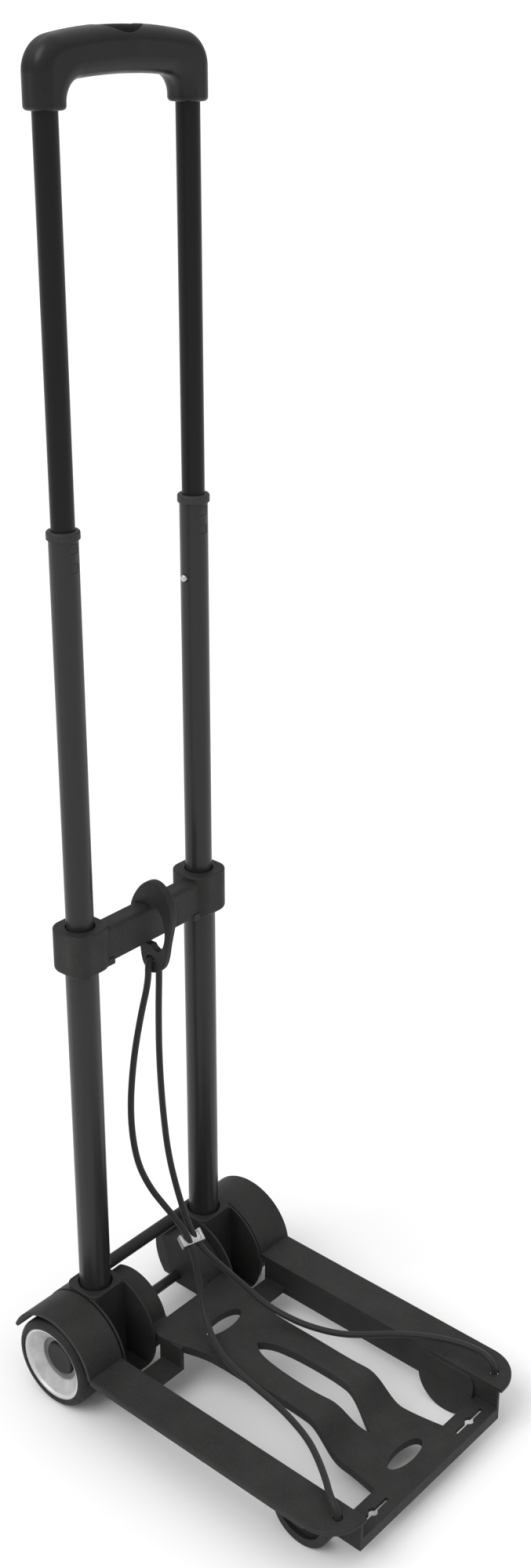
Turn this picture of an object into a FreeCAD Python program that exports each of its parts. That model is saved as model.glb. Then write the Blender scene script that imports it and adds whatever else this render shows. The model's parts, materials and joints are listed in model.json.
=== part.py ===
import FreeCAD, Part
import math
import os

# Folding luggage hand truck: three telescoping tube stages with a moulded pull handle,
# a fold-up tray hinged on the wheel axle, two wheels, and a bungee cord from the tray's
# front corners to a hook on the crossbar.  Millimetres, +Z up, X along the axle, and the
# tray reaches towards -Y.  Every shape is drawn about the axle line (y = 0) and moved by
# AXLE_Y on export, so that the origin is on the floor under the middle of the object.

# ---- driving dimensions ----------------------------------------------------------------
WHEEL_R = 36.0            # wheel radius, and the axle's height
WHEEL_WIDTH = 26.0
WHEEL_OUTER_X = 114.5     # outer face of a tyre
RIM_R = 29.5
AXLE_R = 4.0
AXLE_HALF = 103.2         # half length of the axle rod
PUSH_NUT_X = (100.7, 103.0)

TUBE_X = 61.2             # tube centres, left and right of the middle
TUBE_Y = 4.2              # tube centres, behind the axle
LOWER_R = 12.0
MIDDLE_R = 10.0
UPPER_R = 8.0
TUBE_WALL = 1.2
UPPER_WALL = 1.0
RUN = 0.06                # radial clearance of a running fit

LOWER_Z = (44.0, 382.0)   # lower tube, bottom and top
MIDDLE_Z = (345.0, 672.5)
UPPER_Z = (600.0, 950.0)
COLLAR_TOP = 678.0
GUIDE_FLANGE_TOP = 383.5  # top of the guide bush on a lower tube's end
MIDDLE_PIN_Z = 371.0
UPPER_PIN_Z = 619.0
PIN_R = 2.5
BASE_SCREW_Z = 56.0
BRACKET_SCREW_Z = 364.0

BRACKET_Z = (356.0, 390.0)
BRACKET_HALF = 17.0
BAR_Y = (-8.5, 7.5)
BAR_Z = (357.5, 386.0)

HANDLE_Z = 933.0          # bottom of the handle's legs
HANDLE_TOP = 980.0
TOP_ARC_R = 330.0
ARCH_TOP = 951.4          # top of the opening under the grip
HANDLE_HALF_DEPTH = 12.0
LEG_HALF = 12.0
BUTTON_HALF = (19.0, 11.0)
BUTTON_TRAVEL = 4.0
CHANNEL_Z = (954.0, 965.0)
POCKET_Z = 966.0
HANDLE_SCREWS = ((-47.0, 967.6), (-29.0, 968.2), (29.0, 968.2), (47.0, 967.6))

DECK_TOP = 44.4           # top of the rails and of the centre web
PAN_TOP = 24.4            # top of the low front plate
WALL_Z = 18.0             # bottom of a rail's inner wall
PLATE = 3.0               # wall thickness of the tray moulding
RAIL_X = (81.5, 113.0)    # inner and outer edge of a rail's top
DECK_FRONT = -274.5
FLANGE_Z = 14.0
CORD_HOLE = (93.0, -262.5)
CORD_HOLE_R = 3.4
FENDER_R = 43.0
FENDER_WALL = 2.7
FENDER_END_DEG = 22.0     # where the fender ends behind the wheel, above level
KNUCKLE_X = (24.0, 43.5)
KNUCKLE_R = 35.0
DRUM_X = (44.2, 78.2)
DRUM_R = 43.5
POCKET_R = 46.5           # tray edge round the drum
CROSSBAR = (19.0, 36.5, 5.0)   # behind and above the axle, and radius
FOOT = (-230.0, 25.0, 25.0)    # centre behind the axle, centre height, radius
FOOT_X = (76.5, 95.0)

CORD_R = 2.5
HOOK_HALF = 3.0
RAIL_LEAD = 3.0           # how far the rails stand in front of the front plate
AXLE_Y = -(DECK_FRONT - RAIL_LEAD + DRUM_R) / 2.0
V = FreeCAD.Vector
AXLE_Z = WHEEL_R


# ---- helpers ---------------------------------------------------------------------------
def box(x, y, z):
    """Box between the (low, high) pairs x, y and z."""
    return Part.makeBox(x[1] - x[0], y[1] - y[0], z[1] - z[0], V(x[0], y[0], z[0]))


def cyl_x(x, y, z, r):
    """Cylinder along X between the pair x."""
    return Part.makeCylinder(r, x[1] - x[0], V(x[0], y, z), V(1, 0, 0))


def cyl_y(x, y, z, r):
    return Part.makeCylinder(r, y[1] - y[0], V(x, y[0], z), V(0, 1, 0))


def cyl_z(x, y, z, r):
    return Part.makeCylinder(r, z[1] - z[0], V(x, y, z[0]), V(0, 0, 1))


def ring_z(x, y, z, outer, inner):
    return cyl_z(x, y, z, outer).cut(cyl_z(x, y, (z[0] - 1, z[1] + 1), inner))


def rounded_block(x, y, z, r):
    """Block with its four upright edges rounded."""
    block = box(x, y, z)
    upright = [e for e in block.Edges if abs(e.BoundBox.ZLength - (z[1] - z[0])) < 1e-6]
    return block.makeFillet(r, upright)


def soften(shape, r, pick):
    """Round the edges that pick(edge) chooses."""
    return shape.makeFillet(r, [e for e in shape.Edges if pick(e)])


def prism(points, direction):
    """Closed outline of straight runs, extruded along a vector."""
    wire = Part.makePolygon(points + [points[0]])
    return Part.Face(wire).extrude(direction)


def outline(edges, direction):
    """Face inside edges that join end to end, extruded along a vector."""
    return Part.Face(Part.Wire(Part.__sortEdges__(edges))).extrude(direction)


def spline(points):
    curve = Part.BSplineCurve()
    curve.interpolate([V(*p) for p in points])
    return curve.toShape()


def line(a, b):
    return Part.LineSegment(V(*a), V(*b)).toShape()


def arc(a, b, c):
    return Part.Arc(V(*a), V(*b), V(*c)).toShape()


def mirrored(shape):
    return shape.mirror(V(0, 0, 0), V(1, 0, 0))


def both(shape):
    """The shape and its mirror image, as separate solids."""
    return Part.makeCompound([shape, mirrored(shape)])


def fuse(shapes):
    return shapes[0].multiFuse(shapes[1:]).removeSplitter()


def on_axle(angle_deg, r):
    """Point (y, z) at an angle about the axle: 0 is backwards, 90 is up."""
    a = math.radians(angle_deg)
    return r * math.cos(a), AXLE_Z + r * math.sin(a)


nodes = {}


def keep(name, shape):
    nodes[name] = shape


def keep_pair(name, right_shape):
    keep(name + "_right", right_shape)
    keep(name + "_left", mirrored(right_shape))


# ---- telescoping tubes -----------------------------------------------------------------
def tube(z, r, wall):
    return ring_z(TUBE_X, TUBE_Y, z, r, r - wall)


def pin_hole(z, r_from, r_to, clearance=0.3):
    """Cutter for a lock pin on a tube's inner side (towards x = 0)."""
    return cyl_x((TUBE_X - r_to, TUBE_X - r_from), TUBE_Y, z, PIN_R + clearance)


def lower_tube():
    shape = tube(LOWER_Z, LOWER_R, TUBE_WALL)
    shape = shape.cut(pin_hole(MIDDLE_PIN_Z, 6, 14))
    for z in (BASE_SCREW_Z, BRACKET_SCREW_Z):
        shape = shape.cut(cyl_y(TUBE_X, (TUBE_Y, TUBE_Y + 20), z, 1.7))
    return shape


WINDOWS = ((651.0, 657.5), (664.0, 670.5))
WINDOW_HALF = 3.2


def middle_tube():
    shape = tube(MIDDLE_Z, MIDDLE_R, TUBE_WALL)
    shape = shape.cut(pin_hole(MIDDLE_PIN_Z, 6, 12))
    shape = shape.cut(pin_hole(UPPER_PIN_Z, 6, 12))
    for z in WINDOWS:
        window = box((TUBE_X - WINDOW_HALF, TUBE_X + WINDOW_HALF), (TUBE_Y - 14, TUBE_Y), z)
        shape = shape.cut(window)
    return shape


def upper_tube():
    return tube(UPPER_Z, UPPER_R, UPPER_WALL).cut(pin_hole(UPPER_PIN_Z, 5, 10))


def middle_collar():
    """Guide bush in the top of a middle tube, with a rim and two snap tabs."""
    bore = UPPER_R + RUN
    sleeve_r = MIDDLE_R - TUBE_WALL - 0.02
    rim = ring_z(TUBE_X, TUBE_Y, (MIDDLE_Z[1], COLLAR_TOP), MIDDLE_R + 1.3, bore)
    top = [e for e in rim.Edges if abs(e.BoundBox.ZMax - COLLAR_TOP) < 1e-6
           and e.BoundBox.ZLength < 1e-6 and e.BoundBox.XLength > 2 * MIDDLE_R]
    rim = rim.makeFillet(1.6, top)
    shape = fuse([rim, ring_z(TUBE_X, TUBE_Y, (640.0, MIDDLE_Z[1]), sleeve_r, bore)])
    disc = ring_z(TUBE_X, TUBE_Y, (640.0, MIDDLE_Z[1]), MIDDLE_R - 0.1, bore)
    for z in WINDOWS:
        half = WINDOW_HALF - 0.15
        tab = box((TUBE_X - half, TUBE_X + half), (TUBE_Y - 14, TUBE_Y), (z[0] + 0.15, z[1] - 0.15))
        shape = shape.fuse(tab.common(disc))
    return shape


def lower_guide():
    """Guide bush in the top of a lower tube, with a flange on the tube's end."""
    bore = MIDDLE_R + RUN
    sleeve = ring_z(TUBE_X, TUBE_Y, (362.5, LOWER_Z[1]), LOWER_R - TUBE_WALL - 0.02, bore)
    flange = ring_z(TUBE_X, TUBE_Y, (LOWER_Z[1], GUIDE_FLANGE_TOP), LOWER_R - 0.1, bore)
    return fuse([sleeve, flange]).cut(pin_hole(MIDDLE_PIN_Z, 6, 14))


def sliding_guide(z, tube_r, bore_r):
    """Ring on a tube's foot that runs inside the next tube."""
    return ring_z(TUBE_X, TUBE_Y, z, bore_r - RUN, tube_r)


def lock_pin(z, r_from, r_to):
    pin = cyl_x((TUBE_X - r_to, TUBE_X - r_from), TUBE_Y, z, PIN_R)
    return soften(pin, 1.3, lambda e: abs(e.BoundBox.XMax - (TUBE_X - r_to)) < 1e-6)


def upper_lock_spring():
    """Bent leaf that pushes the lock pin out of the upper tube."""
    x_pin = TUBE_X - 4.0
    x_far = TUBE_X + 6.2
    inner = [(x_pin, 613.0), (x_pin, 628.0), (TUBE_X + 1.0, 645.0), (x_far, 628.0), (x_far, 606.0)]
    pts = [V(x, TUBE_Y - 2.2, z) for x, z in inner]
    pts += [V(x + dx, TUBE_Y - 2.2, z + dz) for (x, z), dx, dz in
            zip(reversed(inner), (-0.6, -0.6, 0.0, 0.6, 0.6), (0, -0.3, -1.1, -0.3, 0))]
    return prism(pts, V(0, 4.4, 0))


def middle_lock_spring():
    """Open snap ring inside a middle tube behind the lock pin."""
    ring = ring_z(TUBE_X, TUBE_Y, (MIDDLE_PIN_Z - 3, MIDDLE_PIN_Z + 3), 8.7, 8.3)
    return ring.cut(box((TUBE_X + 3, TUBE_X + 12), (TUBE_Y - 12, TUBE_Y + 12), (360, 380)))


def build_tubes():
    keep_pair("lower_tube", lower_tube())
    keep_pair("middle_tube", middle_tube())
    keep_pair("upper_tube", upper_tube())
    keep_pair("middle_collar", middle_collar())
    keep_pair("lower_guide", lower_guide())
    keep_pair("middle_guide", sliding_guide((345.0, 360.0), MIDDLE_R, LOWER_R - TUBE_WALL))
    keep_pair("upper_guide", sliding_guide((600.0, 613.0), UPPER_R, MIDDLE_R - TUBE_WALL))
    keep("middle_lock_pins", both(lock_pin(MIDDLE_PIN_Z, 8.72, LOWER_R - 0.1)))
    keep_pair("upper_lock_pin", lock_pin(UPPER_PIN_Z, 4.05, MIDDLE_R + 2.2))
    keep("middle_lock_springs", both(middle_lock_spring()))
    keep("upper_lock_springs", both(upper_lock_spring()))


# ---- crossbar bracket at the top of the lower tubes ------------------------------------
def build_bracket():
    half = BRACKET_HALF
    square = (TUBE_X - half, TUBE_X + half), (TUBE_Y - half, TUBE_Y + half)
    collar = rounded_block(*square, BRACKET_Z, 11.0)
    collar = soften(collar, 3.5, lambda e: e.BoundBox.ZMax < BRACKET_Z[0] + 0.01)
    collar = soften(collar, 1.5, lambda e: e.BoundBox.ZMin > BRACKET_Z[1] - 0.01)
    bar = box((-TUBE_X + 5, TUBE_X - 5), BAR_Y, BAR_Z)
    bar = soften(bar, 3.0, lambda e: e.BoundBox.XLength > 50)
    lip_x = (TUBE_X - half - 3, TUBE_X - 10)
    lip = box(lip_x, (BAR_Y[0] - 1, BAR_Y[1] + 1), (BAR_Z[0] - 1, BAR_Z[0] + 4))
    shape = fuse([bar, collar, mirrored(collar), lip, mirrored(lip)])
    for x in (-TUBE_X, TUBE_X):
        shape = shape.cut(cyl_z(x, TUBE_Y, (350, GUIDE_FLANGE_TOP + 0.1), LOWER_R + 0.03))
        shape = shape.cut(cyl_z(x, TUBE_Y, (GUIDE_FLANGE_TOP, 400), MIDDLE_R + 0.8))
        shape = shape.cut(cyl_y(x, (TUBE_Y, TUBE_Y + 30), BRACKET_SCREW_Z, 1.7))
    keep("crossbar_bracket", shape)
    keep("bracket_screws", both(rear_screw(BRACKET_SCREW_Z, TUBE_Y + BRACKET_HALF)))


def rear_screw(z, y_face):
    """Pan-head screw from behind into a tube's back wall."""
    shank = cyl_y(TUBE_X, (TUBE_Y + LOWER_R - 1.1, y_face), z, 1.6)
    head = cyl_y(TUBE_X, (y_face, y_face + 2.0), z, 3.4)
    head = soften(head, 0.8, lambda e: e.BoundBox.YMin > y_face + 1.99)
    slot = box((TUBE_X - 0.5, TUBE_X + 0.5), (y_face + 1.0, y_face + 3), (z - 2.2, z + 2.2))
    cross = box((TUBE_X - 2.2, TUBE_X + 2.2), (y_face + 1.0, y_face + 3), (z - 0.5, z + 0.5))
    return fuse([shank, head]).cut(slot).cut(cross)


# ---- base: tube blocks, rear crossbar and axle -----------------------------------------
def build_base():
    drum = cyl_x(DRUM_X, 0, AXLE_Z, DRUM_R)
    drum = drum.cut(box((0, 120), (-60, 60), (-20, 9.0)))
    socket = rounded_block(DRUM_X, (TUBE_Y - 16.2, TUBE_Y + 16.2), (44.0, 81.0), 7.0)
    drum = fuse([drum, socket])
    drum = soften(drum, 1.2, lambda e: e.BoundBox.ZMin > 80.9)
    front_x = (DRUM_X[0] + 1.6, DRUM_X[1] - 1.6)
    rear_x = (DRUM_X[0] + 4.0, DRUM_X[1] - 4.0)
    drum = drum.cut(box(front_x, (-60, -11.0), (12.5, 80.0)))
    drum = drum.cut(box(rear_x, (24.0, 60.0), (16.0, 62.0)))
    boss = cyl_x((40, 80), 0, AXLE_Z, 11.0)
    drum = drum.cut(box(rear_x, (-9.0, 34.0), (5.0, 27.0)).cut(boss))
    drum = drum.cut(cyl_z(TUBE_X, TUBE_Y, (LOWER_Z[0], 90), LOWER_R + 0.03))
    drum = drum.cut(cyl_z(TUBE_X, TUBE_Y, (77.0, 90), LOWER_R + 1.3))
    drum = drum.cut(cyl_y(TUBE_X, (TUBE_Y, TUBE_Y + 30), BASE_SCREW_Z, 1.7))
    bar_y, bar_z, bar_r = CROSSBAR
    bar = cyl_x((-50, 50), bar_y, AXLE_Z + bar_z, bar_r)
    shape = fuse([drum, mirrored(drum), bar])
    shape = shape.cut(cyl_z(TUBE_X, TUBE_Y, (LOWER_Z[0], 90), LOWER_R + 0.03))
    shape = shape.cut(cyl_z(-TUBE_X, TUBE_Y, (LOWER_Z[0], 90), LOWER_R + 0.03))
    shape = shape.cut(cyl_x((-130, 130), 0, AXLE_Z, AXLE_R + 0.02))
    keep("base_bracket", shape)
    keep("base_screws", both(rear_screw(BASE_SCREW_Z, 24.0)))
    rod = cyl_x((-AXLE_HALF, AXLE_HALF), 0, AXLE_Z, AXLE_R)
    keep("axle_rod", soften(rod, 0.8, lambda e: abs(abs(e.CenterOfMass.x) - AXLE_HALF) < 0.01))
    nut = cyl_x(PUSH_NUT_X, 0, AXLE_Z, 8.0).cut(cyl_x((90, 120), 0, AXLE_Z, AXLE_R))
    nut = soften(nut, 1.2, lambda e: e.BoundBox.XMin > PUSH_NUT_X[1] - 0.1 and e.BoundBox.ZLength > 10)
    keep("axle_push_nuts", both(nut))
    washer = cyl_x((84.2, 86.2), 0, AXLE_Z, 9.0).cut(cyl_x((80, 90), 0, AXLE_Z, AXLE_R))
    keep("axle_washers", both(washer))


# ---- wheels ----------------------------------------------------------------------------
def build_wheels():
    x_out = WHEEL_OUTER_X
    x_in = x_out - WHEEL_WIDTH
    tyre = cyl_x((x_in, x_out), 0, AXLE_Z, WHEEL_R)
    tyre = soften(tyre, 5.0, lambda e: abs(e.BoundBox.ZLength - 2 * WHEEL_R) < 0.01
                  and e.BoundBox.XLength < 0.01)
    tyre = tyre.cut(cyl_x((x_in - 1, x_out + 1), 0, AXLE_Z, RIM_R))
    keep_pair("tyre", tyre)
    # dished rim: (x, radius) profile turned about the axle, its inner face then its outer one
    bore = AXLE_R + RUN
    profile = [(x_in + 1.5, bore), (x_in + 1.5, 10.0), (x_in + 10.0, 12.0),
               (x_in + 10.0, 23.0), (x_in + 1.5, 27.0), (x_in + 1.5, RIM_R),
               (x_out - 1.0, RIM_R), (x_out - 1.0, 27.6), (x_out - 2.4, 26.8), (x_out - 9.5, 17.5),
               (x_out - 11.2, 17.2), (x_out - 11.2, 13.6), (x_out - 14.0, 13.4), (x_out - 14.0, bore)]
    wire = Part.makePolygon([V(x, 0, AXLE_Z + r) for x, r in profile + profile[:1]])
    keep_pair("rim", Part.Face(wire).revolve(V(0, 0, AXLE_Z), V(1, 0, 0), 360))
    cap = cyl_x((x_out - 13.9, x_out - 8.8), 0, AXLE_Z, 13.2)
    cap = soften(cap, 1.5, lambda e: e.BoundBox.XMin > x_out - 8.81)
    keep_pair("hub_cap", cap.cut(cyl_x((x_out - 16.0, x_out - 10.6), 0, AXLE_Z, 11.0)))


# ---- tray ------------------------------------------------------------------------------
# Half width of the centre web at each y: wide at the hinge, waisted, wide at the front.
WEB_WIDTH = ((-36.0, 43.0), (-60.0, 42.0), (-84.0, 35.0), (-110.0, 33.0), (-150.0, 33.0),
             (-185.0, 33.5), (-205.0, 35.5), (-222.0, 36.0), (-240.0, 38.0), (-256.0, 41.0))
# Half width of the centre opening at each y between its two pointed ends.
HOLE_WIDTH = ((-108.0, 0.0), (-116.0, 6.0), (-130.0, 9.6), (-160.0, 11.6),
              (-185.0, 10.6), (-204.0, 6.2), (-219.0, 0.0))
SLOPE_Y = (-186.0, -222.0)   # the web runs down from the deck's level to the pan's
SKIRT = 7.0
OVALS = ((0.0, -73.0), (0.0, -249.5))
OVAL_HALF = (19.0, 7.5)
RIB_Y = (-95.0, -150.0, -200.0)


def web_plan(inset):
    """Solid of the web's plan outline, inset all round its long sides."""
    right = [(w - inset, y, 0) for y, w in WEB_WIDTH]
    left = [(-x, y, 0) for x, y, _ in right]
    edges = [spline(right), spline(left), line(right[0], left[0]), line(right[-1], left[-1])]
    return outline(edges, V(0, 0, 60))


def hole_plan(grow):
    """Solid of the teardrop opening's outline, grown sideways."""
    right = [(w + grow, y, 0) for y, w in HOLE_WIDTH]
    right[0] = (0, HOLE_WIDTH[0][0] + grow, 0)
    right[-1] = (0, HOLE_WIDTH[-1][0] - grow, 0)
    left = [(-x, y, 0) for x, y, _ in right]
    return outline([spline(right), spline(left)], V(0, 0, 60))


def web_band(depth):
    """Solid between the web's top line and a line a depth below it, all across the tray."""
    y_hi, y_lo = SLOPE_Y
    y_mid = (y_hi + y_lo) / 2

    def top(z_off):
        return [(-90, y_hi, DECK_TOP + z_off), (-90, y_hi - 8, DECK_TOP + z_off - 2.0),
                (-90, y_mid, (DECK_TOP + PAN_TOP) / 2 + z_off), (-90, y_lo + 8, PAN_TOP + z_off + 2.0),
                (-90, y_lo, PAN_TOP + z_off)]
    upper = top(0)
    lower = top(-depth)
    rear = (-90, -26.0, DECK_TOP)
    front = (-90, DECK_FRONT + 1.0, PAN_TOP)
    low_rear = (-90, rear[1], DECK_TOP - depth)
    low_front = (-90, front[1], PAN_TOP - depth)
    edges = [line(rear, upper[0]), spline(upper), line(upper[-1], front), line(front, low_front),
             line(low_front, lower[-1]), spline(lower), line(lower[0], low_rear), line(low_rear, rear)]
    return outline(edges, V(180, 0, 0))


def oval(centre, half, z):
    """Upright oval cutter."""
    ellipse = Part.Ellipse(V(centre[0], centre[1], z[0]), half[0], half[1])
    return Part.Face(Part.Wire([ellipse.toShape()])).extrude(V(0, 0, z[1] - z[0]))


def build_web():
    plan = web_plan(0)
    plate = plan.common(web_band(PLATE))
    skirts = plan.cut(web_plan(2.4)).common(web_band(SKIRT))
    collar = hole_plan(2.4).common(web_band(SKIRT))
    rim_half = (OVAL_HALF[0] + 2.2, OVAL_HALF[1] + 2.2)
    rims = [oval(centre, rim_half, (0, 60)).common(web_band(SKIRT - 1)) for centre in OVALS]
    web = fuse([plate, skirts, collar] + rims)
    web = web.cut(hole_plan(0))
    for centre in OVALS:
        web = web.cut(oval(centre, OVAL_HALF, (0, 60)))
    rear_wall = box((39.5, 43.0), (-68.0, -46.0), (PAN_TOP - PLATE, DECK_TOP - 1))
    return fuse([web, rear_wall, mirrored(rear_wall)])


def build_rail():
    """Right rail: flat top strip with a rounded front, inner wall, ribs and outer edge."""
    x_in, x_out = RAIL_X
    y_front = DECK_FRONT - RAIL_LEAD
    y_back = -math.sqrt(FENDER_R ** 2 - (DECK_TOP - AXLE_Z) ** 2) + 0.6
    corner = 28.0
    bend = corner * (1 - math.sqrt(0.5))
    z0 = DECK_TOP - PLATE
    edges = [line((x_in - 1.2, y_back, z0), (x_out, y_back, z0)),
             line((x_out, y_back, z0), (x_out, y_front + corner, z0)),
             arc((x_out, y_front + corner, z0), (x_out - bend, y_front + bend, z0),
                 (x_out - corner, y_front, z0)),
             line((x_out - corner, y_front, z0), (x_in - 1.2, y_front, z0)),
             line((x_in - 1.2, y_front, z0), (x_in - 1.2, y_back, z0))]
    top = outline(edges, V(0, 0, PLATE))
    top = soften(top, 1.2, lambda e: e.BoundBox.ZMin > DECK_TOP - 0.01 and e.BoundBox.XMax > x_in + 1
                 and e.BoundBox.YMin < y_back - 1)
    wall = box((x_in - 1.2, x_in + 1.3), (DECK_FRONT, y_back - 4), (WALL_Z, z0 + 0.5))
    ribs = [box((x_in, x_out - 8.0), (y - 1.0, y + 1.0), (z0 - 6.0, z0 + 0.5)) for y in RIB_Y]
    edge = box((x_out - 2.2, x_out - 0.2), (-248.0, y_back), (z0 - 2.0, z0 + 0.5))
    hole = cyl_z(CORD_HOLE[0], CORD_HOLE[1], (0, 60), CORD_HOLE_R)
    return fuse([top, wall, edge] + ribs).cut(hole)


def build_pan():
    """Low front plate with a drop flange and two slots, and the rear floor strips."""
    z = (PAN_TOP - PLATE, PAN_TOP)
    x_in = RAIL_X[0]
    plate = box((-x_in, x_in), (DECK_FRONT, -254.0), z)
    flange = box((-x_in - 1.2, x_in + 1.2), (DECK_FRONT, DECK_FRONT + PLATE), (FLANGE_Z, PAN_TOP))
    side_drop = box((x_in - 1.2, x_in + 1.3), (DECK_FRONT, -250.0), (FLANGE_Z, PAN_TOP))
    floor = box((41.0, x_in), (-68.0, -48.0), z)
    pairs = [side_drop, floor]
    shape = fuse([plate, flange] + pairs + [mirrored(piece) for piece in pairs])
    shape = soften(shape, 1.0, lambda e: e.BoundBox.XLength > 150 and e.BoundBox.YMax < DECK_FRONT + 0.01
                   and e.BoundBox.ZMin > PAN_TOP - 0.01)
    for side_x in (-57.5, 57.5):
        slot = box((side_x - 16.5, side_x + 16.5), (-266.8, -264.2), (0, 60))
        shape = shape.cut(slot).cut(cyl_z(side_x, -265.5, (0, 60), 3.6))
    return shape


def build_fender():
    """Right wheel arch: part of a cylinder about the axle, with an inner cheek."""
    x = (79.6, 113.2)
    z_join = DECK_TOP - AXLE_Z
    start = 180.0 - math.degrees(math.asin((z_join - 1.0) / FENDER_R))
    shell = cyl_x(x, 0, AXLE_Z, FENDER_R).cut(cyl_x((70, 120), 0, AXLE_Z, FENDER_R - FENDER_WALL))
    cheek = cyl_x((x[0], x[0] + 2.4), 0, AXLE_Z, FENDER_R - 1).cut(cyl_x((70, 90), 0, AXLE_Z, AXLE_R + 0.7))
    reach = 80.0
    y0, z0 = on_axle(start, reach)
    y1, z1 = on_axle(FENDER_END_DEG, reach)
    corners = [V(70, y0, z0), V(70, -reach, 150), V(70, reach, 150), V(70, y1, z1), V(70, 0, AXLE_Z)]
    shell = shell.common(prism(corners, V(60, 0, 0)))
    low = [V(70, -reach, AXLE_Z - 15), V(70, -reach, 150), V(70, reach, 150), V(70, y1, z1),
           V(70, 9, AXLE_Z - 9), V(70, -9, AXLE_Z - 9), V(70, -30, AXLE_Z - 15)]
    cheek = cheek.common(prism(low, V(60, 0, 0)))
    return fuse([shell, cheek])


def build_knuckle():
    """Right hinge knuckle: arched ear from the web over the axle, hollow from below."""
    x = KNUCKLE_X
    y_a, z_a = on_axle(166.0, KNUCKLE_R)
    y_m, z_m = on_axle(115.0, KNUCKLE_R)
    y_b, z_b = on_axle(64.0, KNUCKLE_R)
    low_z = AXLE_Z - 8.0
    boss_y, boss_z = on_axle(-45.0, 8.0)
    crown_start, crown_end = (x[0], y_a, z_a), (x[0], y_b, z_b)
    boss_start, boss_end = (x[0], 8.0, AXLE_Z), (x[0], 0, low_z)
    foot, top = (x[0], -40.0, low_z), (x[0], -40.0, DECK_TOP - PLATE)
    edges = [arc(crown_start, (x[0], y_m, z_m), crown_end), line(crown_end, boss_start),
             arc(boss_start, (x[0], boss_y, boss_z), boss_end), line(boss_end, foot),
             line(foot, top), line(top, crown_start)]
    ear = outline(edges, V(x[1] - x[0], 0, 0))
    cavity = cyl_x((x[0] + 2.6, x[1] - 2.6), 0, AXLE_Z, KNUCKLE_R - 2.6)
    cavity = cavity.cut(cyl_x((0, 60), 0, AXLE_Z, 9.5))
    cavity = cavity.cut(box((0, 60), (5.0, 60), (0, 100)))
    return ear.cut(cavity).cut(cyl_x((0, 60), 0, AXLE_Z, AXLE_R + RUN))


def build_deck():
    right = [build_rail(), build_fender(), build_knuckle()]
    shapes = [build_web(), build_pan()]
    for shape in right:
        shapes += [shape, mirrored(shape)]
    deck = fuse(shapes)
    drum_space = cyl_x((DRUM_X[0] - 0.7, DRUM_X[1] + 0.7), 0, AXLE_Z, POCKET_R)
    deck = deck.cut(drum_space).cut(mirrored(drum_space))
    deck = deck.cut(oval(OVALS[1], OVAL_HALF, (0, 60)))
    deck = deck.cut(cyl_x((-80, 80), 0, AXLE_Z, AXLE_R + RUN))
    keep("deck", deck)


def build_feet():
    y, z, r = FOOT
    foot = cyl_x(FOOT_X, y, z, r)
    foot = soften(foot, 1.5, lambda e: e.BoundBox.XMin > FOOT_X[1] - 0.01)
    foot = foot.cut(box((0, 120), (y - 60, y + 60), (DECK_TOP - PLATE - 0.1, 90)))
    recess = cyl_x((FOOT_X[1] - 4.0, FOOT_X[1] + 1), y, z + 2.0, r - 5.5)
    wall_slot = box((RAIL_X[0] - 1.3, RAIL_X[0] + 1.4), (-300.0, -100.0), (FLANGE_Z - 0.1, 90.0))
    pan_slot = box((60.0, RAIL_X[0] + 1.4), (-300.0, -253.9), (FLANGE_Z - 0.1, 90.0))
    rib_slot = box((RAIL_X[0], RAIL_X[1]), (-206.5, -100.0), (DECK_TOP - PLATE - 6.1, 90.0))
    # the part inside the rail's wall slopes up to it
    x_wall, z_wall = RAIL_X[0] - 1.2, DECK_TOP - PLATE
    low, high = V(FOOT_X[0] - 0.5, -300.0, z - 2.2), V(x_wall, -300.0, z_wall)
    slope = prism([low, high, V(x_wall, -300.0, 90.0), V(low.x, -300.0, 90.0)], V(0, 200, 0))
    for cutter in (recess, wall_slot, pan_slot, rib_slot, slope):
        foot = foot.cut(cutter)
    keep_pair("front_foot", foot)


# ---- handle ----------------------------------------------------------------------------
def shoulder(x, crown, corner_r, top_r):
    """Tangent corner between an upright side at x and a wide arc whose top is at crown.

    Returns (x, z) of the corner's lower end, its middle and its upper end."""
    centre_x = x - corner_r
    centre_z = crown - top_r + math.sqrt((top_r - corner_r) ** 2 - centre_x ** 2)
    angle = math.atan2(centre_z - crown + top_r, centre_x)
    middle = (centre_x + corner_r * math.cos(angle / 2), centre_z + corner_r * math.sin(angle / 2))
    upper = (top_r * math.cos(angle), crown - top_r + top_r * math.sin(angle))
    return (x, centre_z), middle, upper


def handle_solid():
    """Bow of the handle: a wide rounded top over an arched opening, and two legs."""
    x_leg = TUBE_X + LEG_HALF
    x_in = TUBE_X - LEG_HALF
    y0 = TUBE_Y - HANDLE_HALF_DEPTH

    def p(q, side=1):
        return side * q[0], y0, q[1]

    def half_bow(x, crown, corner_r, top_r):
        low, middle, high = shoulder(x, crown, corner_r, top_r)
        edges = [line(p((x, HANDLE_Z), s), p(low, s)) for s in (-1, 1)]
        edges += [arc(p(low, s), p(middle, s), p(high, s)) for s in (-1, 1)]
        return edges + [arc(p(high, -1), p((0, crown)), p(high))]
    feet = [line(p((x_in, HANDLE_Z), s), p((x_leg, HANDLE_Z), s)) for s in (-1, 1)]
    edges = half_bow(x_leg, HANDLE_TOP, 22.0, TOP_ARC_R) + half_bow(x_in, ARCH_TOP, 13.0, 420.0) + feet
    body = outline(edges, V(0, 2 * HANDLE_HALF_DEPTH, 0))
    body = soften(body, 9.5, lambda e: e.BoundBox.YLength < 0.01 and not e.BoundBox.ZMax < HANDLE_Z + 0.01)
    body = soften(body, 2.6, lambda e: e.BoundBox.ZMax < HANDLE_Z + 0.01)
    return body


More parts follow.
